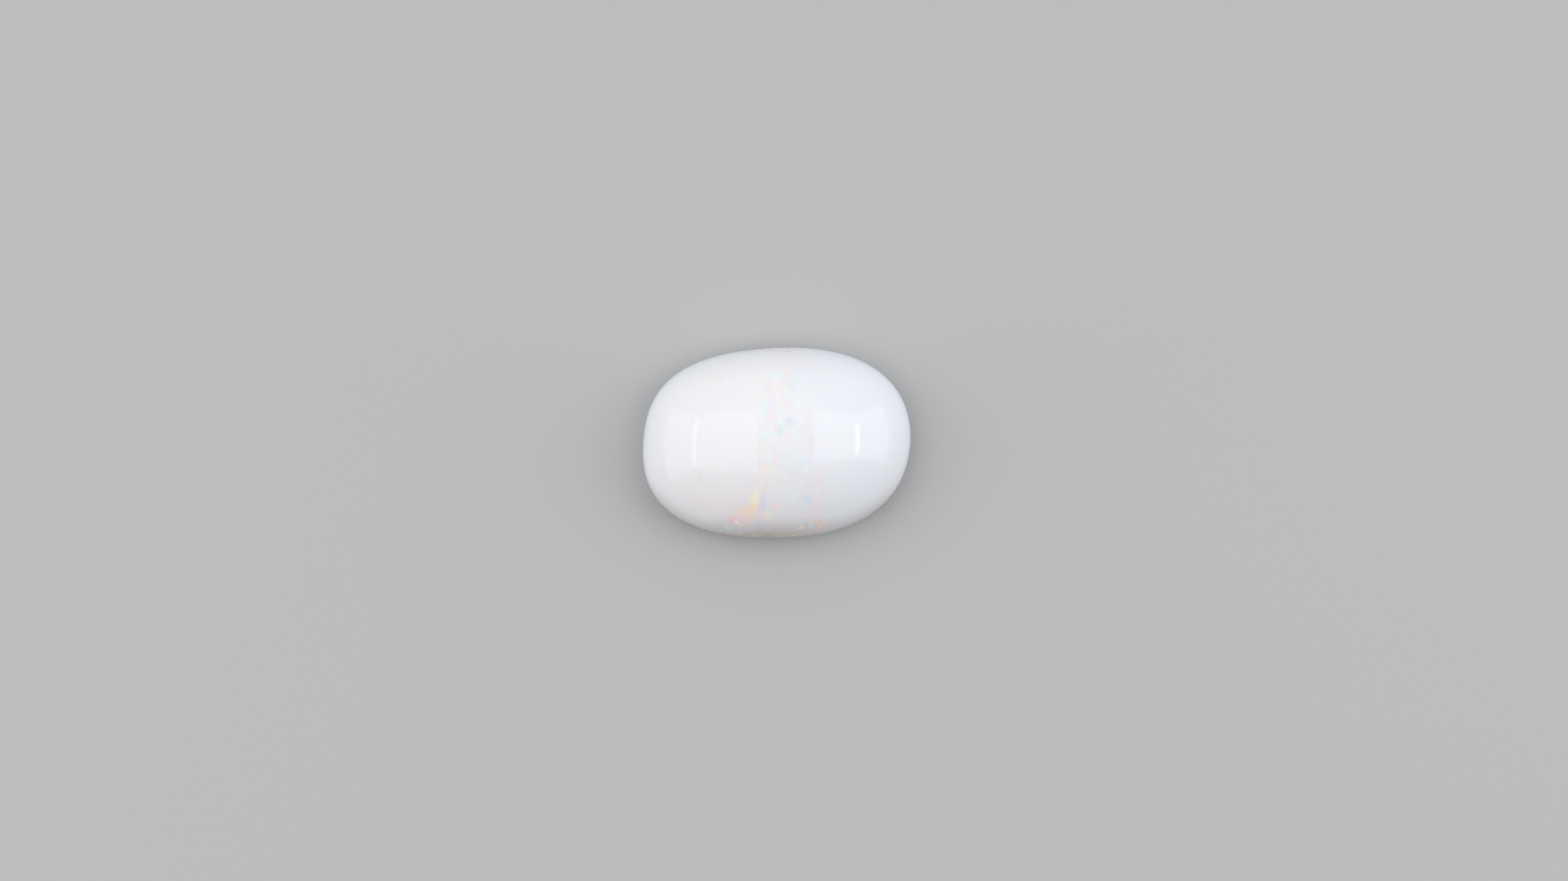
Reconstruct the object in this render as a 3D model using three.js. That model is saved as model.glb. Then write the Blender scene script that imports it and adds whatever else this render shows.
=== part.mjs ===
// A polished white opal cut as an oval cabochon: one solid stone with a high domed top,
// a thin girdle round its widest line and a flat back with a bevelled edge.
// Millimetres, +Z up. The stone lies on its flat back at z = 0, centred on the origin,
// with its length along X.
import * as THREE from "three";
import { mergeVertices } from "three/addons/utils/BufferGeometryUtils.js";

// Driving dimensions
const LENGTH = 14.0;
const WIDTH = 9.96;
const DOME_HEIGHT = 4.1;
const GIRDLE_HEIGHT = 0.2;
const BEVEL_HEIGHT = 0.9;
const BEVEL_INSET = 0.75;
const EDGE_SOFTENING = 0.16; // how far each polished edge is rounded back from its corner

// How the hand-cut outline departs from a plain oval, as shares of its radius
const FULLNESS = 0.0285; // all four corners stand out, towards a rounded rectangle
const LEAN = 0.0205; // one pair of opposite corners is fuller than the other
const TAPER = 0.0034; // one end is a little blunter than the other
const WAVER = 0.0042; // slight flats left by the cutter along the rim

// Faceting
const SEGMENTS = 96;
const DOME_RINGS = 24;
const EDGE_STEPS = 3;

// Worked-out sizes
const HALF_LENGTH = LENGTH / 2;
const HALF_WIDTH = WIDTH / 2;
const GIRDLE_TOP = BEVEL_HEIGHT + GIRDLE_HEIGHT;
const BACK_EDGE = HALF_WIDTH - BEVEL_INSET;

// The outline's radius at an angle, as a share of the plain oval's.
function outlineShare(angle) {
  return (
    1 +
    FULLNESS * (1 - Math.cos(4 * angle)) +
    LEAN * Math.sin(2 * angle) -
    TAPER * Math.cos(angle) +
    WAVER * Math.cos(5 * angle)
  );
}

// A point of the stone's plan at an angle, a share of the way out from the middle. The plan is
// a plain oval at the top of the dome and takes on the hand-cut outline towards the girdle.
function planPoint(angle, share) {
  const reach = share * (1 + share ** 2 * (outlineShare(angle) - 1));
  return new THREE.Vector2(HALF_LENGTH * reach * Math.cos(angle), HALF_WIDTH * reach * Math.sin(angle));
}

// A point inside the outline by a fixed distance, square to the rim.
function insetPoint(angle, inset) {
  const step = 1e-4;
  const along = planPoint(angle + step, 1).sub(planPoint(angle - step, 1)).normalize();
  const inward = new THREE.Vector2(-along.y, along.x);
  return planPoint(angle, 1).addScaledVector(inward, inset);
}

// A corner of the section, rounded between two points that lie EDGE_SOFTENING from it.
function softCorner(before, corner, after) {
  const start = corner.clone().add(before.clone().sub(corner).setLength(EDGE_SOFTENING));
  const end = corner.clone().add(after.clone().sub(corner).setLength(EDGE_SOFTENING));
  return new THREE.QuadraticBezierCurve(start, corner, end).getPoints(EDGE_STEPS);
}

// The section across the stone's width, from the middle of the back to the top of the dome:
// x is the distance from the middle and y the height.
function section() {
  const backMiddle = new THREE.Vector2(0, 0);
  const backEdge = new THREE.Vector2(BACK_EDGE, 0);
  const girdleFoot = new THREE.Vector2(HALF_WIDTH, BEVEL_HEIGHT);
  const girdleTop = new THREE.Vector2(HALF_WIDTH, GIRDLE_TOP);
  const dome = new THREE.EllipseCurve(0, GIRDLE_TOP, HALF_WIDTH, DOME_HEIGHT, 0, Math.PI / 2);
  return [
    backMiddle,
    ...softCorner(backMiddle, backEdge, girdleFoot),
    ...softCorner(backEdge, girdleFoot, girdleTop),
    ...dome.getPoints(DOME_RINGS),
  ];
}

// Moves a point of the round, turned stone out to the oval plan. The dome is stretched with
// the plan, and the bevel below the girdle keeps one width all the way round.
function pressToPlan(point) {
  const angle = Math.atan2(point.y, point.x);
  const distance = Math.hypot(point.x, point.y);
  const onBevel = point.z < GIRDLE_TOP && distance >= BACK_EDGE - 2 * EDGE_SOFTENING;
  const place = onBevel
    ? insetPoint(angle, HALF_WIDTH - distance)
    : planPoint(angle, distance / HALF_WIDTH);
  point.set(place.x, place.y, point.z);
}

// Brings the plan's own box to the driving length and width, centred on the origin.
function fitToSize(geometry) {
  geometry.computeBoundingBox();
  const middle = geometry.boundingBox.getCenter(new THREE.Vector3());
  const size = geometry.boundingBox.getSize(new THREE.Vector3());
  geometry.translate(-middle.x, -middle.y, 0);
  geometry.scale(LENGTH / size.x, WIDTH / size.y, 1);
}

function cabochonGeometry() {
  const turned = new THREE.LatheGeometry(section(), SEGMENTS);
  turned.rotateX(Math.PI / 2); // the lathe turns about Y
  turned.deleteAttribute("normal");
  turned.deleteAttribute("uv");
  const geometry = mergeVertices(turned);
  const position = geometry.getAttribute("position");
  const point = new THREE.Vector3();
  for (let i = 0; i < position.count; i++) {
    point.fromBufferAttribute(position, i);
    pressToPlan(point);
    position.setXYZ(i, point.x, point.y, point.z);
  }
  fitToSize(geometry);
  geometry.computeVertexNormals();
  return geometry;
}

// Milky white body with a wet-looking polish
const opalMaterial = new THREE.MeshStandardMaterial({ color: 0xf0f0f3, roughness: 0.12, metalness: 0 });

const opal = new THREE.Mesh(cabochonGeometry(), opalMaterial);
opal.name = "opal";

const stone = new THREE.Group();
stone.add(opal);

export default stone;
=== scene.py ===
import math

import bmesh
import bpy
import numpy as np
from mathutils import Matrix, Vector, noise


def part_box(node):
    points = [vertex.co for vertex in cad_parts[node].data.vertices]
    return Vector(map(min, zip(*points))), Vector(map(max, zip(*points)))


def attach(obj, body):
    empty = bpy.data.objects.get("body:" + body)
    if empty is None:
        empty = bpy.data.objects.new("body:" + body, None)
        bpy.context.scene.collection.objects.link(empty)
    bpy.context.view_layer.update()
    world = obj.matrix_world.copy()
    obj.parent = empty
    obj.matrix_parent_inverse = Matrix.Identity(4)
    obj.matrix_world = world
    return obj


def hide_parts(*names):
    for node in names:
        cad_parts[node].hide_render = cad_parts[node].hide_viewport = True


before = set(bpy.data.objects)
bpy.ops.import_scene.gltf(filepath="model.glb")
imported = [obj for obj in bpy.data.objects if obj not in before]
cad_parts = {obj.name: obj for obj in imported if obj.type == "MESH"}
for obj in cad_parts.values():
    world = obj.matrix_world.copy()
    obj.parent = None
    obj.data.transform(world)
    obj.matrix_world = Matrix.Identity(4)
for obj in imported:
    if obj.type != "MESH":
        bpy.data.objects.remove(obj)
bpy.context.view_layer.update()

# A polished white opal cabochon on a pale floor, seen from straight above.
# Sizes are in millimetres unless a name says otherwise, and Blender's own unit is the metre.
MM = 0.001

# The stone: its box comes from the frame, and its section is the one the solid is cut to
low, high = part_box("opal")
LENGTH, WIDTH, HEIGHT = (high - low) / MM
GIRDLE_HEIGHT = 0.2
BEVEL_HEIGHT = 0.9
BEVEL_INSET = 0.75
EDGE_SOFTENING = 0.16
GIRDLE_TOP = BEVEL_HEIGHT + GIRDLE_HEIGHT
DOME_HEIGHT = HEIGHT - GIRDLE_TOP
HALF_LENGTH = LENGTH / 2
HALF_WIDTH = WIDTH / 2

# How the hand-cut outline departs from a plain oval, as shares of its radius
FULLNESS = 0.0285
LEAN = 0.0205
TAPER = 0.0034
WAVER = 0.0042

# Mesh fineness: rings of faces from the middle of each side out to the girdle
RINGS = 92
BACK_RINGS = 64
CORNER_STEPS = 7

# Faces within a margin round each small mark are cut finer. Points inside this share of the way out to
# the rim are then put back on the dome.
MARK_CUTS = 4
MARK_MARGIN = 0.15
RESHAPED_SHARE = 0.97

# The hand polish leaves long, very shallow swells that make reflections waver. They die away towards the
# girdle, over a share of the dome's height.
SWELL_HEIGHT = 0.011
SWELL_LENGTH = 3.4
SWELL_FADE = 0.25

# Small marks cut into the polish: place across the dome, half-sizes, turn in degrees, depth and how much
# of their fill shows
PIT_SIZE = (0.05, 0.05)
PIT_DEPTH = 0.03
PIT_FILL = 0.35
PITS = [(-0.83, 4.34), (-2.26, 2.59), (-5.92, 2.50), (5.12, -3.17), (4.68, -3.42)]
SLOT = {"place": (0.60, 4.76), "size": (0.27, 0.018), "turn": 0, "depth": 0.02, "dirt": 0.8}
NICK = {"place": (0.86, -4.82), "size": (0.20, 0.05), "turn": 32, "depth": 0.025, "dirt": 0.9}
MARKS = [SLOT, NICK]
for pit in PITS:
    MARKS.append({"place": pit, "size": PIT_SIZE, "turn": 0, "depth": PIT_DEPTH, "dirt": PIT_FILL})


# The outline's radius at an angle, as a share of the plain oval's.
def outline_share(angle):
    return (
        1
        + FULLNESS * (1 - np.cos(4 * angle))
        + LEAN * np.sin(2 * angle)
        - TAPER * np.cos(angle)
        + WAVER * np.cos(5 * angle)
    )


# A point of the plan at an angle, a share of the way out from the middle.
def plan_point(angle, share):
    reach = share * (1 + share**2 * (outline_share(angle) - 1))
    return HALF_LENGTH * reach * np.cos(angle), HALF_WIDTH * reach * np.sin(angle)


# A point inside the outline by a fixed distance, square to the rim.
def inset_point(angle, inset):
    step = 1e-4
    x, y = plan_point(angle, 1.0)
    ahead_x, ahead_y = plan_point(angle + step, 1.0)
    along_x, along_y = ahead_x - x, ahead_y - y
    length = np.hypot(along_x, along_y)
    return x - inset * along_y / length, y + inset * along_x / length


# The bare plan is a little larger than the stone's box and off its middle: this brings it in.
rim_angles = np.linspace(0, 2 * math.pi, 721)
rim_x, rim_y = plan_point(rim_angles, 1.0)
PLAN_MIDDLE = np.array([rim_x.max() + rim_x.min(), rim_y.max() + rim_y.min()]) / 2
PLAN_SCALE = np.array([LENGTH / np.ptp(rim_x), WIDTH / np.ptp(rim_y)])


def fit_to_size(x, y):
    return (x - PLAN_MIDDLE[0]) * PLAN_SCALE[0], (y - PLAN_MIDDLE[1]) * PLAN_SCALE[1]


# How far out a place on the plan is, as a share of the way to the rim.
def share_at(x, y):
    plan_x = (x / PLAN_SCALE[0] + PLAN_MIDDLE[0]) / HALF_LENGTH
    plan_y = (y / PLAN_SCALE[1] + PLAN_MIDDLE[1]) / HALF_WIDTH
    reach = np.hypot(plan_x, plan_y)
    excess = outline_share(np.arctan2(plan_y, plan_x)) - 1
    share = reach
    for _ in range(8):
        share = reach / (1 + share**2 * excess)
    return share


# The height of the dome over a place on the plan.
def dome_height(x, y):
    return GIRDLE_TOP + DOME_HEIGHT * np.sqrt(np.clip(1 - share_at(x, y) ** 2, 0, 1))


# A corner of the section, rounded between two points that lie EDGE_SOFTENING from it.
def soft_corner(before, corner, after):
    before, corner, after = map(np.array, (before, corner, after))
    start = corner + (before - corner) * EDGE_SOFTENING / np.linalg.norm(before - corner)
    end = corner + (after - corner) * EDGE_SOFTENING / np.linalg.norm(after - corner)
    t = np.linspace(0, 1, CORNER_STEPS)[:, None]
    return (1 - t) ** 2 * start + 2 * t * (1 - t) * corner + t**2 * end


# The underside's section from the middle of the back to the girdle, as (inset from the rim, height).
def underside_section():
    middle = (HALF_WIDTH, 0)
    back_edge = (BEVEL_INSET, 0)
    foot = (0, BEVEL_HEIGHT)
    top = (0, GIRDLE_TOP)
    back_corner = soft_corner(middle, back_edge, foot)
    girdle_corner = soft_corner(back_edge, foot, top)
    spare = RINGS - BACK_RINGS - 2 * CORNER_STEPS
    t = np.linspace(0, 1, spare + 2)[1:-1, None]
    bevel = back_corner[-1] * (1 - t) + girdle_corner[0] * t
    return np.vstack([back_corner, bevel, girdle_corner, [top]])


# A square grid pressed out to a disc: each point's ring, and its angle round the middle.
def disc_grid():
    steps = np.arange(-RINGS, RINGS + 1)
    across, up = np.meshgrid(steps, steps)
    ring = np.maximum(abs(across), abs(up))
    wide = abs(across) >= abs(up)
    side = np.where(wide, across, up)
    slant = np.where(wide, up, -across) / np.where(side == 0, 1, side) * math.pi / 4
    start = np.where(wide, 0, math.pi / 2) + np.where(side < 0, math.pi, 0)
    return ring, start + slant


# The dome: rings at even steps round a quarter of an ellipse.
def dome_points(ring, angle):
    climb = ring / RINGS * math.pi / 2
    x, y = fit_to_size(*plan_point(angle, np.sin(climb)))
    return np.stack([x, y, GIRDLE_TOP + DOME_HEIGHT * np.cos(climb)], axis=-1)


# The underside: the flat back spread over its rings, then the bevel and girdle.
def underside_points(ring, angle):
    section = underside_section()
    step = np.clip(ring - BACK_RINGS, 0, None)
    x, y = inset_point(angle, section[step, 0])
    spread = np.minimum(ring / BACK_RINGS, 1)
    x, y = fit_to_size(x * spread, y * spread)
    return np.stack([x, y, section[step, 1]], axis=-1)


# Four-sided faces between the neighbours of a grid of point numbers.
def grid_faces(index):
    corners = [index[:-1, :-1], index[:-1, 1:], index[1:, 1:], index[1:, :-1]]
    return np.stack(corners, axis=-1).reshape(-1, 4)


# The whole closed surface: two pressed grids that share the girdle's points.
def stone_mesh():
    ring, angle = disc_grid()
    inside = ring < RINGS
    dome_index = np.arange(ring.size).reshape(ring.shape)
    under_index = dome_index.copy()
    under_index[inside] = ring.size + np.arange(inside.sum())
    points = np.vstack([dome_points(ring, angle).reshape(-1, 3), underside_points(ring, angle)[inside]])
    faces = np.vstack([grid_faces(dome_index), grid_faces(under_index)[:, ::-1]])
    mesh = bpy.data.meshes.new("opal_stone")
    mesh.from_pydata((points * MM).tolist(), [], faces.tolist())
    return mesh


# How far a place is from a mark's middle, as a share of the mark's size.
def mark_reach(mark, x, y):
    turn = math.radians(mark["turn"])
    dx, dy = x - mark["place"][0], y - mark["place"][1]
    along = dx * math.cos(turn) + dy * math.sin(turn)
    across = dy * math.cos(turn) - dx * math.sin(turn)
    return np.hypot(along / mark["size"][0], across / mark["size"][1])


# Splits the faces under each mark, so that its small shape has points to be cut from.
def refine_marks(shape):
    for mark in MARKS:
        middle = Vector(mark["place"]) * MM
        reach = (max(mark["size"]) + MARK_MARGIN) * MM
        near = []
        for edge in shape.edges:
            start = edge.verts[0].co
            if start.z > GIRDLE_TOP * MM and (start.xy - middle).length < reach:
                near.append(edge)
        bmesh.ops.subdivide_edges(shape, edges=near, cuts=MARK_CUTS, use_grid_fill=True)


# Long swells from the hand polish, and the small marks, cut along the surface's own normals.
def carve(shape):
    shape.normal_update()
    depths = []
    for point in shape.verts:
        x, y, z = point.co / MM
        swell = SWELL_HEIGHT * noise.noise(point.co / (SWELL_LENGTH * MM))
        fade = min(max((z - GIRDLE_TOP) / (SWELL_FADE * DOME_HEIGHT), 0), 1)
        cut = 0
        if z > GIRDLE_TOP:
            for mark in MARKS:
                reach = mark_reach(mark, x, y)
                if reach < 1:
                    cut += mark["depth"] * (1 - reach**2) ** 2
        depths.append(swell * fade - cut)
    for point, depth in zip(shape.verts, depths):
        point.co += point.normal * depth * MM


def make_stone():
    mesh = stone_mesh()
    shape = bmesh.new()
    shape.from_mesh(mesh)
    refine_marks(shape)
    for point in shape.verts:
        x, y, z = point.co / MM
        if z > GIRDLE_TOP and share_at(x, y) < RESHAPED_SHARE:
            point.co.z = dome_height(x, y) * MM
    carve(shape)
    bmesh.ops.triangulate(shape, faces=[face for face in shape.faces if len(face.verts) > 4])
    for face in shape.faces:
        face.smooth = True
    shape.to_mesh(mesh)
    shape.free()
    return bpy.data.objects.new("opal_stone", mesh)


# Short forms for building node trees

# Adds a node. An input is either another node's socket, which is linked, or a plain value.
def add_node(tree, kind, inputs=(), **settings):
    node = tree.nodes.new(kind)
    for name, value in settings.items():
        setattr(node, name, value)
    for key, value in dict(inputs).items():
        if isinstance(value, bpy.types.NodeSocket):
            tree.links.new(value, node.inputs[key])
        else:
            node.inputs[key].default_value = value
    return node


def calculate(tree, operation, first, second=0.0, third=0.0):
    inputs = {0: first, 1: second, 2: third}
    return add_node(tree, "ShaderNodeMath", inputs, operation=operation).outputs[0]


def multiply(tree, first, second):
    return calculate(tree, "MULTIPLY", first, second)


# The X, Y and Z of a place.
def axes(tree, place):
    return add_node(tree, "ShaderNodeSeparateXYZ", {0: place}).outputs


# The red, green and blue of a colour.
def channels(tree, colour):
    return add_node(tree, "ShaderNodeSeparateColor", {0: colour}).outputs


# A value brought from one range to 0..top, with a soft start and end.
def soft_range(tree, value, start, end, top=1.0):
    inputs = {"Value": value, "From Min": start, "From Max": end, "To Max": top}
    return add_node(tree, "ShaderNodeMapRange", inputs, interpolation_type="SMOOTHSTEP").outputs[0]


def mix_colour(tree, share, first, second, blend="MIX"):
    inputs = {"Factor": share, 6: first, 7: second}
    return add_node(tree, "ShaderNodeMix", inputs, data_type="RGBA", blend_type=blend).outputs[2]


def speckle(tree, place, size, detail=2.0):
    inputs = {"Vector": place, "Scale": 1 / size, "Detail": detail}
    return add_node(tree, "ShaderNodeTexNoise", inputs).outputs["Fac"]


# A soft oval patch: its strength in its middle, 0 beyond its edge.
def oval(tree, place, middle, size, turn=0.0, strength=1.0):
    inputs = {"Vector": place, "Location": middle, "Rotation": (0, 0, math.radians(turn)), "Scale": size}
    local = add_node(tree, "ShaderNodeMapping", inputs, vector_type="TEXTURE").outputs[0]
    reach = add_node(tree, "ShaderNodeVectorMath", {0: local}, operation="LENGTH").outputs["Value"]
    return soft_range(tree, reach, 1.0, 0.0, strength)


def rgb(red, green, blue):
    return (red, green, blue, 1.0)


# Colours, in linear light
MILK = rgb(0.815, 0.812, 0.828)
ROSE_MILK = rgb(0.838, 0.803, 0.812)
BLUE_MILK = rgb(0.790, 0.806, 0.846)
BLUE_RIM = rgb(0.795, 0.824, 0.885)
# A grey for the thin front edge and for painted shade on the front
FRONT_SHADE_GREY = rgb(0.640, 0.630, 0.618)
BACK_GREY = rgb(0.760, 0.755, 0.760)
AMBER = rgb(0.58, 0.44, 0.28)
WHITE = rgb(0.97, 0.97, 0.97)
DARK_FILL = rgb(0.10, 0.09, 0.09)
TAN = rgb(0.72, 0.60, 0.50)
MAUVE = rgb(0.58, 0.51, 0.53)
RED = rgb(1.00, 0.60, 0.53)
ORANGE = rgb(1.00, 0.77, 0.58)
YELLOW = rgb(1.00, 0.91, 0.63)
GREEN = rgb(0.70, 0.98, 0.84)
CYAN = rgb(0.64, 0.93, 0.94)
BLUE = rgb(0.56, 0.72, 0.81)
VIOLET = rgb(0.70, 0.68, 0.88)
PINK = rgb(0.98, 0.69, 0.71)

# Tints, which lighten a channel above one half and darken it below
SALMON = rgb(0.80, 0.36, 0.34)
TEAL = rgb(0.18, 0.58, 0.64)

# The brighter flashes: colour, place across the stone, half-sizes, turn in degrees and strength
FLASHES = [
    (BLUE, (0.75, 3.00), (0.50, 0.85), 0, 0.24),
    (PINK, (-0.35, 2.60), (0.36, 0.40), 0, 0.34),
    (PINK, (0.25, 2.40), (0.20, 0.28), 0, 0.30),
    (GREEN, (1.10, 1.80), (0.55, 0.70), 0, 0.26),
    (CYAN, (-0.55, 1.50), (0.26, 0.16), 0, 0.44),
    (PINK, (-0.30, 1.28), (0.24, 0.22), 0, 0.34),
    (PINK, (1.95, 1.10), (0.14, 0.48), 0, 0.36),
    (BLUE, (0.64, 1.03), (0.42, 0.42), 0, 0.72),
    (BLUE, (0.16, 0.62), (0.30, 0.38), 0, 0.72),
    (PINK, (0.25, 0.15), (0.34, 0.30), 0, 0.32),
    (CYAN, (0.10, -0.65), (0.16, 0.50), -8, 0.52),
    (ORANGE, (-0.60, -1.40), (0.42, 0.36), 0, 0.44),
    (VIOLET, (0.75, -1.55), (0.18, 0.55), -10, 0.40),
    (YELLOW, (-1.15, -2.95), (0.50, 0.80), -15, 0.80),
    (ORANGE, (-1.50, -3.45), (0.90, 0.60), 15, 0.90),
    (PINK, (-1.80, -3.95), (1.00, 0.60), 20, 0.80),
    (VIOLET, (-0.68, -3.10), (0.36, 0.85), 0, 0.75),
    (PINK, (-0.06, -3.33), (0.30, 0.40), 0, 0.50),
    (ORANGE, (-0.45, -3.83), (0.34, 0.55), 0, 0.50),
    (BLUE, (-0.83, -4.20), (0.75, 0.30), 0, 0.40),
    (RED, (-2.29, -4.06), (0.26, 0.28), 0, 0.85),
    (WHITE, (-2.00, -4.15), (0.14, 0.26), 30, 0.95),
    (VIOLET, (-1.88, -4.53), (0.60, 0.24), 0, 0.55),
    (CYAN, (-2.45, -4.45), (0.50, 0.24), -20, 0.60),
    (BLUE, (1.62, -2.91), (0.32, 0.30), 0, 0.75),
    (PINK, (2.00, -3.13), (0.24, 0.56), 0, 0.52),
    (CYAN, (2.80, -3.07), (0.55, 0.16), 12, 0.55),
    (BLUE, (1.46, -4.18), (0.50, 0.34), 0, 0.50),
    (PINK, (1.95, -4.05), (0.90, 0.50), -10, 0.45),
    (RED, (2.29, -4.25), (0.36, 0.28), -35, 0.85),
    (PINK, (2.20, -4.52), (0.60, 0.28), 0, 0.60),
    (YELLOW, (1.34, -4.41), (0.36, 0.16), -30, 0.80),
    (CYAN, (2.60, -3.85), (0.30, 0.22), 0, 0.65),
]

# Stains and the hairline: place across the stone, half-sizes, turn in degrees, strength and colour
STAINS = [
    ((-3.05, 3.26), (0.50, 0.30), 0, 0.12, TAN),
    ((-3.95, -1.80), (0.14, 0.55), 0, 0.11, TAN),
    ((-2.21, -3.00), (1.60, 0.06), -33, 0.11, MAUVE),
]


# The milky body: where each shade starts and ends along the axis that it follows
CLOUD_SIZE = 3.0
CLOUD_SHIFT = 5.0
BLUE_END = (-1.5, 5.0)
ROSY_MIDDLE = (-2.6, -3.4, 2.5)
ROSY_SIZE = (5.0, 3.4, 8.0)
ROSY_STRENGTH = 0.8
RIM_HEIGHTS = (GIRDLE_TOP + 0.62 * DOME_HEIGHT, GIRDLE_TOP)
RIM_FADE = (-3.6, 0.5)
# The painted shade on the lower front slopes: the heights it spans, its strength, and where it fades out
# towards the back
CORNER_HEIGHTS = (GIRDLE_TOP + 0.5 * DOME_HEIGHT, GIRDLE_TOP + 0.1 * DOME_HEIGHT)
CORNER_STRENGTH = 0.8
CORNER_FADE = (-1.5, -3.6)
FRONT_FADE = (-3.7, -4.85)
BACK_HEIGHTS = (0.3, 0.0)


# Rosy towards the lower left, bluish towards the right end and round the rim, greyer at the front, partly
# where the front edge thins and partly as painted shade on the front edge and the lower front slopes, and
# plain on the back.
def body_colour(tree, place):
    spot = axes(tree, place)
    cloud = calculate(tree, "SUBTRACT", speckle(tree, place, CLOUD_SIZE), 0.5)
    rightward = calculate(tree, "MULTIPLY_ADD", cloud, CLOUD_SHIFT, spot["X"])
    colour = mix_colour(tree, soft_range(tree, rightward, *BLUE_END), MILK, BLUE_MILK)
    rosy = oval(tree, place, ROSY_MIDDLE, ROSY_SIZE, strength=ROSY_STRENGTH)
    colour = mix_colour(tree, rosy, colour, ROSE_MILK)
    low_down = soft_range(tree, spot["Z"], *RIM_HEIGHTS)
    not_in_front = soft_range(tree, spot["Y"], *RIM_FADE)
    colour = mix_colour(tree, multiply(tree, low_down, not_in_front), colour, BLUE_RIM)
    # Painted shade on the lower front slopes, which face away from the light
    corner = soft_range(tree, spot["Z"], *CORNER_HEIGHTS, CORNER_STRENGTH)
    corner = multiply(tree, corner, soft_range(tree, spot["Y"], *CORNER_FADE))
    # The painted shade joins the thin front edge's grey
    thin_edge_and_shade = calculate(tree, "MAXIMUM", corner, soft_range(tree, spot["Y"], *FRONT_FADE))
    colour = mix_colour(tree, thin_edge_and_shade, colour, FRONT_SHADE_GREY)
    return mix_colour(tree, soft_range(tree, spot["Z"], *BACK_HEIGHTS), colour, BACK_GREY)


# Places moved by a colour, taken as a direction round mid grey, times a distance along each axis.
def shifted(tree, place, shift, distances):
    centred = add_node(tree, "ShaderNodeVectorMath", {0: shift, 1: (0.5,) * 3}, operation="SUBTRACT")
    inputs = {0: centred.outputs[0], 1: distances, 2: place}
    return add_node(tree, "ShaderNodeVectorMath", inputs, operation="MULTIPLY_ADD").outputs[0]


# Places shifted about by noise.
def stirred(tree, place, size, distance):
    inputs = {"Vector": place, "Scale": 1 / size, "Detail": 3.0}
    shift = add_node(tree, "ShaderNodeTexNoise", inputs).outputs["Color"]
    return shifted(tree, place, shift, (distance,) * 3)


# The play of colour comes from cells of silica, drawn out along the stone's width. Each cell has a colour
# of random values.
CELL_SQUEEZE = (1, 0.5, 0.8)


def fire_cells(tree, place, size, squeeze=CELL_SQUEEZE, **settings):
    drawn_out = add_node(tree, "ShaderNodeMapping", {"Vector": place, "Scale": squeeze}).outputs[0]
    inputs = {"Vector": drawn_out, "Scale": 1 / size}
    return add_node(tree, "ShaderNodeTexVoronoi", inputs, **settings).outputs["Color"]


# Lightens or darkens each channel by the values of a tint.
def tinted(tree, share, colour, tint):
    return mix_colour(tree, share, colour, tint, "LINEAR_LIGHT")


# The band of faint colour that crosses the stone's width: its middle and half-width at the back, how
# much wider it is at the front, and where it fades out
BAND_MIDDLE = 0.4
BAND_HALF = 1.5
BAND_GAIN = 1.4
BAND_RUN = (4.5, -4.2)
BAND_EDGE = (1.1, 0.4)
BAND_FOOT = (0.6, 2.0)

# Its soft patches, of two tones with some of every other colour, and the small cells over them
PATCH_SIZE = 0.32
PATCH_TINT = 0.055
TWO_TONES = (0.36, 0.62)
OTHER_COLOURS = 0.35
SMALL_CELL_SIZE = 0.13
SMALL_CELL_TINT = 0.013
SMALL_CELL_JUMP = (0.9, 0.6, 0.6)


def band_mask(tree, place):
    spot = axes(tree, place)
    half = calculate(tree, "MULTIPLY_ADD", soft_range(tree, spot["Y"], *BAND_RUN), BAND_GAIN, BAND_HALF)
    offset = calculate(tree, "ABSOLUTE", calculate(tree, "SUBTRACT", spot["X"], BAND_MIDDLE))
    across = soft_range(tree, calculate(tree, "DIVIDE", offset, half), *BAND_EDGE)
    return multiply(tree, across, soft_range(tree, spot["Z"], *BAND_FOOT))


def band_colour(tree, place, colour):
    patches = fire_cells(tree, place, PATCH_SIZE, feature="SMOOTH_F1")
    tone = soft_range(tree, channels(tree, patches)["Red"], *TWO_TONES)
    patches = mix_colour(tree, OTHER_COLOURS, mix_colour(tree, tone, SALMON, TEAL), patches)
    colour = tinted(tree, multiply(tree, band_mask(tree, place), PATCH_TINT), colour, patches)
    small = fire_cells(tree, place, SMALL_CELL_SIZE)
    jumped = shifted(tree, place, small, SMALL_CELL_JUMP)
    return tinted(tree, multiply(tree, band_mask(tree, jumped), SMALL_CELL_TINT), colour, small)


# The flashes are broken up into cells and streaks, and reach a little way down into the stone
FLASH_CELL_SIZE = 0.14
FLASH_JUMP = (0.11, 0.20, 0.12)
FLASH_DEPTH = 1.2
FAINTEST_STREAK = 0.35


def flash_colour(tree, place, cells, streaks, colour):
    broken = shifted(tree, place, cells, FLASH_JUMP)
    for flash, (x, y), size, turn, strength in FLASHES:
        middle = (x, y, dome_height(x, y))
        spread = oval(tree, broken, middle, (*size, FLASH_DEPTH), turn, strength)
        colour = mix_colour(tree, multiply(tree, spread, streaks), colour, flash)
    return colour


# Crushed slivers of every colour lie in two clusters towards the front edge, each with its middle,
# half-sizes and turn in degrees. A few of them are pale glints.
SLIVER_CLUSTERS = [((-1.35, -3.85, 3.0), (1.9, 1.3, 2.0), 20), ((1.9, -4.1, 2.9), (1.9, 1.2, 2.0), 0)]
SLIVER_SIZE = 0.07
SLIVER_SQUEEZE = (1, 0.3, 0.5)
SLIVER_TURN = 1.8
SLIVER_JUMP = (0.6, 0.6, 0.6)
SLIVER_TINT = 0.08
GLINTS = (0.88, 1.0)
GLINT_STRENGTH = 0.6


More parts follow.
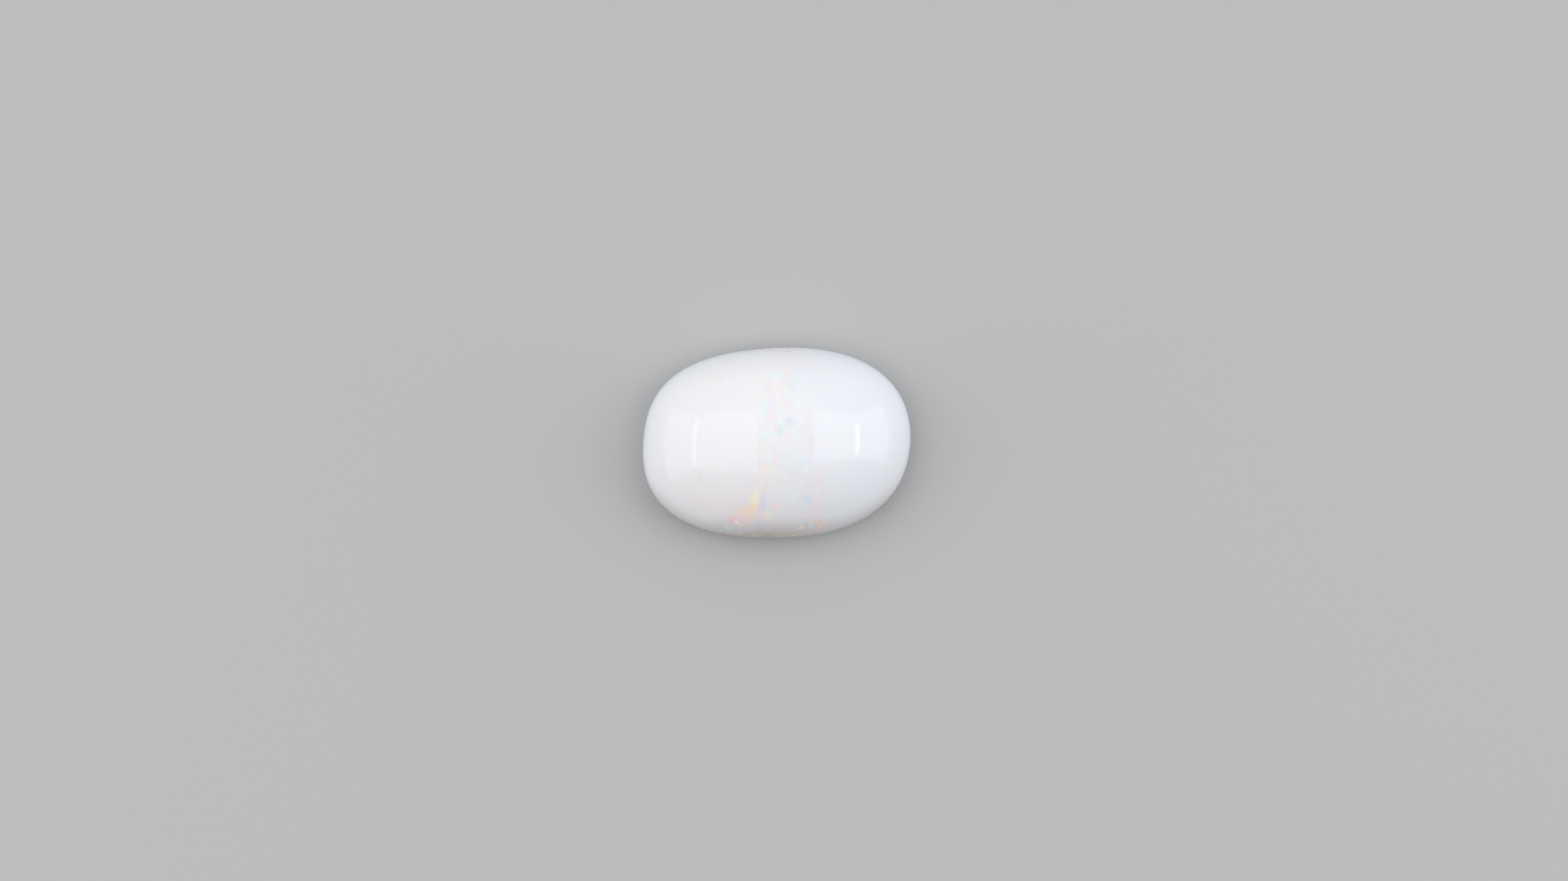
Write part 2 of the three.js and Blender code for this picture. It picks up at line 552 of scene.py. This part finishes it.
# Slivers, turned by a different angle in each of the larger cells.
def fire_slivers(tree, place, cells):
    angle = calculate(tree, "MULTIPLY_ADD", channels(tree, cells)["Blue"], SLIVER_TURN, -SLIVER_TURN / 2)
    inputs = {"Vector": place, "Angle": angle}
    turned = add_node(tree, "ShaderNodeVectorRotate", inputs, rotation_type="Z_AXIS").outputs[0]
    return fire_cells(tree, turned, SLIVER_SIZE, SLIVER_SQUEEZE)


def sliver_colour(tree, place, slivers, colour):
    ragged = shifted(tree, place, slivers, SLIVER_JUMP)
    front = 0.0
    for middle, size, turn in SLIVER_CLUSTERS:
        front = calculate(tree, "MAXIMUM", front, oval(tree, ragged, middle, size, turn))
    colour = tinted(tree, multiply(tree, front, SLIVER_TINT), colour, slivers)
    glint = soft_range(tree, channels(tree, slivers)["Blue"], *GLINTS, GLINT_STRENGTH)
    return mix_colour(tree, multiply(tree, front, glint), colour, WHITE)


# How the cells are stirred: the size of the swirls, and how far they carry
WAVES = (0.7, 0.35)
BAND_RIPPLES = (0.12, 0.05)
FLASH_RIPPLES = (0.09, 0.07)


def play_of_colour(tree, place, colour):
    wavy = stirred(tree, place, *WAVES)
    colour = band_colour(tree, stirred(tree, wavy, *BAND_RIPPLES), colour)
    ragged = stirred(tree, wavy, *FLASH_RIPPLES)
    cells = fire_cells(tree, ragged, FLASH_CELL_SIZE)
    slivers = fire_slivers(tree, place, cells)
    inputs = {"Value": channels(tree, slivers)["Green"], "To Min": FAINTEST_STREAK}
    streaks = add_node(tree, "ShaderNodeMapRange", inputs).outputs[0]
    colour = flash_colour(tree, ragged, cells, streaks, colour)
    return sliver_colour(tree, ragged, slivers, colour)


# Warm light through the thin front edge: a mottled amber strip and a short red streak in it
AMBER_MIDDLE = (-0.35, -5.0, 1.75)
AMBER_SIZE = (2.5, 1.0, 1.5)
AMBER_SWIRLS = (0.5, 0.5)
MOTTLE_SIZE = 0.7
MOTTLES = (0.25, 0.70)
STREAK_MIDDLE = (0.5, -4.86, 1.9)
STREAK_SIZE = (0.6, 0.3, 0.24)
STREAK_SWIRLS = (0.12, 0.12)
STREAK_STRENGTH = 0.55


def warm_edge(tree, place, colour):
    strip = oval(tree, stirred(tree, place, *AMBER_SWIRLS), AMBER_MIDDLE, AMBER_SIZE)
    mottles = soft_range(tree, speckle(tree, place, MOTTLE_SIZE, 5.0), *MOTTLES)
    colour = mix_colour(tree, multiply(tree, strip, mottles), colour, AMBER)
    uneven = stirred(tree, place, *STREAK_SWIRLS)
    streak = oval(tree, uneven, STREAK_MIDDLE, STREAK_SIZE, strength=STREAK_STRENGTH)
    return mix_colour(tree, streak, colour, RED)


# Small stains and the hairline, which wander a little, and the fill of the marks: dark, but pale in the
# fresh chip of the nick
STAIN_SWIRLS = (0.5, 0.22)
STAIN_DEPTH = 1.0


def stains(tree, place, colour):
    uneven = stirred(tree, place, *STAIN_SWIRLS)
    for (x, y), size, turn, strength, stain in STAINS:
        spread = oval(tree, uneven, (x, y, dome_height(x, y)), (*size, STAIN_DEPTH), turn, strength)
        colour = mix_colour(tree, spread, colour, stain)
    # The marks' fill: darker in the pits and the slot, pale in the nick
    for mark in MARKS:
        x, y = mark["place"]
        middle = (x, y, dome_height(x, y))
        size = (*mark["size"], max(mark["size"]))
        spread = oval(tree, place, middle, size, mark["turn"], mark["dirt"])
        colour = mix_colour(tree, spread, colour, WHITE if mark is NICK else DARK_FILL)
    return colour


# The finish: a wet-looking polish on the dome with faint smears, duller on the bevel, and a ground back
POLISH_ROUGHNESS = 0.025
SMEAR_ROUGHNESS = 0.05
SMEAR_SIZE = 0.8
BEVEL_ROUGHNESS = 0.14
BACK_ROUGHNESS = 0.22
BACK_EDGE_HEIGHT = 0.12

# Its relief: fine grinding scratches on the back, fainter on the bevel, and a faint ripple all over
RELIEF = 0.004
SCRATCH_WIDTH = 0.05
SCRATCH_SQUEEZE = (0.06, 1, 1)
BEVEL_SCRATCHES = 0.1
RIPPLE_SIZE = 0.5
RIPPLE_SHARE = 0.2


def finish(tree, place, shader):
    height = axes(tree, place)["Z"]
    below = soft_range(tree, height, GIRDLE_TOP, BEVEL_HEIGHT)
    back = soft_range(tree, height, BACK_EDGE_HEIGHT, 0.0)
    smear = soft_range(tree, speckle(tree, place, SMEAR_SIZE, 4.0), 0.2, 0.8, SMEAR_ROUGHNESS)
    rough = calculate(tree, "ADD", smear, POLISH_ROUGHNESS)
    rough = calculate(tree, "MULTIPLY_ADD", back, BACK_ROUGHNESS, rough)
    rough = calculate(tree, "MULTIPLY_ADD", below, BEVEL_ROUGHNESS, rough)
    tree.links.new(rough, shader.inputs["Roughness"])

    along = add_node(tree, "ShaderNodeMapping", {"Vector": place, "Scale": SCRATCH_SQUEEZE}).outputs[0]
    ground = calculate(tree, "MULTIPLY_ADD", below, BEVEL_SCRATCHES, back)
    scratches = multiply(tree, speckle(tree, along, SCRATCH_WIDTH, 3.0), ground)
    ripple = multiply(tree, speckle(tree, place, RIPPLE_SIZE, 3.0), RIPPLE_SHARE)
    inputs = {"Height": calculate(tree, "ADD", scratches, ripple), "Distance": RELIEF * MM}
    bump = add_node(tree, "ShaderNodeBump", inputs)
    tree.links.new(bump.outputs[0], shader.inputs["Normal"])


# Light enters the stone and scatters, red light farthest
REFRACTION = 1.45
SCATTER_DISTANCE = 0.8
SCATTER_SHARES = (1.0, 0.8, 0.62)


def opal_material():
    material = bpy.data.materials.new("opal")
    material.use_nodes = True
    tree = material.node_tree
    shader = tree.nodes["Principled BSDF"]
    metres = add_node(tree, "ShaderNodeTexCoord").outputs["Object"]
    inputs = {0: metres, "Scale": 1 / MM}
    place = add_node(tree, "ShaderNodeVectorMath", inputs, operation="SCALE").outputs[0]
    colour = body_colour(tree, place)
    colour = play_of_colour(tree, place, colour)
    colour = warm_edge(tree, place, colour)
    colour = stains(tree, place, colour)
    tree.links.new(colour, shader.inputs["Base Color"])
    finish(tree, place, shader)
    shader.inputs["IOR"].default_value = REFRACTION
    shader.inputs["Specular IOR Level"].default_value = 0.5
    shader.inputs["Subsurface Weight"].default_value = 1.0
    shader.inputs["Subsurface Radius"].default_value = SCATTER_SHARES
    shader.inputs["Subsurface Scale"].default_value = SCATTER_DISTANCE * MM
    return material


# The stone
stone = make_stone()
bpy.context.collection.objects.link(stone)
stone.data.materials.append(opal_material())
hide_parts("opal")
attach(stone, "root")


# The floor
FLOOR_SIZE = 4000
FLOOR_GREY = rgb(0.46, 0.46, 0.46)


def make_floor():
    half = FLOOR_SIZE / 2 * MM
    mesh = bpy.data.meshes.new("floor")
    corners = [(-half, -half, 0), (half, -half, 0), (half, half, 0), (-half, half, 0)]
    mesh.from_pydata(corners, [], [(0, 1, 2, 3)])
    material = bpy.data.materials.new("floor")
    material.use_nodes = True
    shader = material.node_tree.nodes["Principled BSDF"]
    shader.inputs["Base Color"].default_value = FLOOR_GREY
    shader.inputs["Roughness"].default_value = 0.9
    shader.inputs["Specular IOR Level"].default_value = 0.1
    mesh.materials.append(material)
    floor = bpy.data.objects.new("floor", mesh)
    bpy.context.collection.objects.link(floor)
    return floor


make_floor()


# Studio light: a tent of soft panels, open towards the front, with a gap overhead for the camera
TENT_SIDE = 360
TENT_TOP = 300
TENT_FOOT = 40
PANEL_BACK = 207
STRIP_HEIGHT = TENT_TOP - 5


# A soft panel with a given brightness. Its size is along its own level direction, then the other.
def panel(name, middle, facing, size, brightness):
    light = bpy.data.lights.new(name, "AREA")
    light.shape = "RECTANGLE"
    light.size = size[0] * MM
    light.size_y = size[1] * MM
    light.energy = brightness * 4 * light.size * light.size_y
    lamp = bpy.data.objects.new(name, light)
    lamp.location = Vector(middle) * MM
    lamp.rotation_euler = Vector(facing).to_track_quat("-Z", "Y").to_euler()
    lamp.visible_camera = False
    bpy.context.collection.objects.link(lamp)


def ceiling(name, left, right, front, back, brightness, height=TENT_TOP):
    middle = ((left + right) / 2, (front + back) / 2, height)
    panel(name, middle, (0, 0, -1), (right - left, back - front), brightness)


def wall(name, side, front, back, brightness):
    middle = (side, (front + back) / 2, (TENT_FOOT + TENT_TOP) / 2)
    facing = (-math.copysign(1, side), 0, 0)
    panel(name, middle, facing, (back - front, TENT_TOP - TENT_FOOT), brightness)


# Name, left, right, front and back edges, and brightness. The bright strips hang just under the ceiling.
ceiling("left_ceiling", -TENT_SIDE, -50, -183, PANEL_BACK, 0.80)
ceiling("right_ceiling_start", 105, 165, -120, PANEL_BACK, 0.92)
ceiling("right_ceiling", 165, TENT_SIDE, -117, PANEL_BACK, 1.00)
ceiling("left_strip", -TENT_SIDE, -TENT_SIDE + 34, -150, 170, 1.5, STRIP_HEIGHT)
ceiling("right_strip", TENT_SIDE - 42, TENT_SIDE, -90, 130, 2.2, STRIP_HEIGHT)

# Name, side, front and back edges, and brightness
wall("left_wall", -TENT_SIDE, -190, PANEL_BACK, 0.75)
wall("right_wall", TENT_SIDE, -120, PANEL_BACK, 0.97)

# A low, narrow glow in front of the stone, which its front edge mirrors
panel("front_sill", (0, -420, 30), (0, 1, 0), (800, 12), 0.6)

# Soft daylight from the back and overhead, falling off towards the front
SKY_COLOUR = rgb(0.97, 0.98, 1.0)
FRONT_SKY = 0.31
BACK_SKY = 0.78
SKY_CHANGE = (-0.6, -0.1)


def make_world():
    world = bpy.data.worlds.new("studio")
    world.use_nodes = True
    tree = world.node_tree
    sky = tree.nodes["Background"]
    direction = add_node(tree, "ShaderNodeTexCoord").outputs["Generated"]
    back = soft_range(tree, axes(tree, direction)["Y"], *SKY_CHANGE)
    strength = calculate(tree, "MULTIPLY_ADD", back, BACK_SKY - FRONT_SKY, FRONT_SKY)
    tree.links.new(strength, sky.inputs["Strength"])
    sky.inputs["Color"].default_value = SKY_COLOUR
    return world


bpy.context.scene.world = make_world()
bpy.context.scene.view_settings.view_transform = "Standard"

# The camera looks straight down from where the photograph was taken
IMAGE_WIDTH = 2576
STONE_WIDTH_IN_IMAGE = 440
LENS = 100
SENSOR = 36
CAMERA_OFFSET = (0.382, 0.111)
distance = LENS / SENSOR * LENGTH * IMAGE_WIDTH / STONE_WIDTH_IN_IMAGE

camera_data = bpy.data.cameras.new("camera")
camera_data.lens = LENS
camera_data.sensor_width = SENSOR
camera_data.clip_start = 0.01
camera = bpy.data.objects.new("camera", camera_data)
camera.location = Vector((*CAMERA_OFFSET, GIRDLE_TOP + distance)) * MM
bpy.context.collection.objects.link(camera)
bpy.context.scene.camera = camera
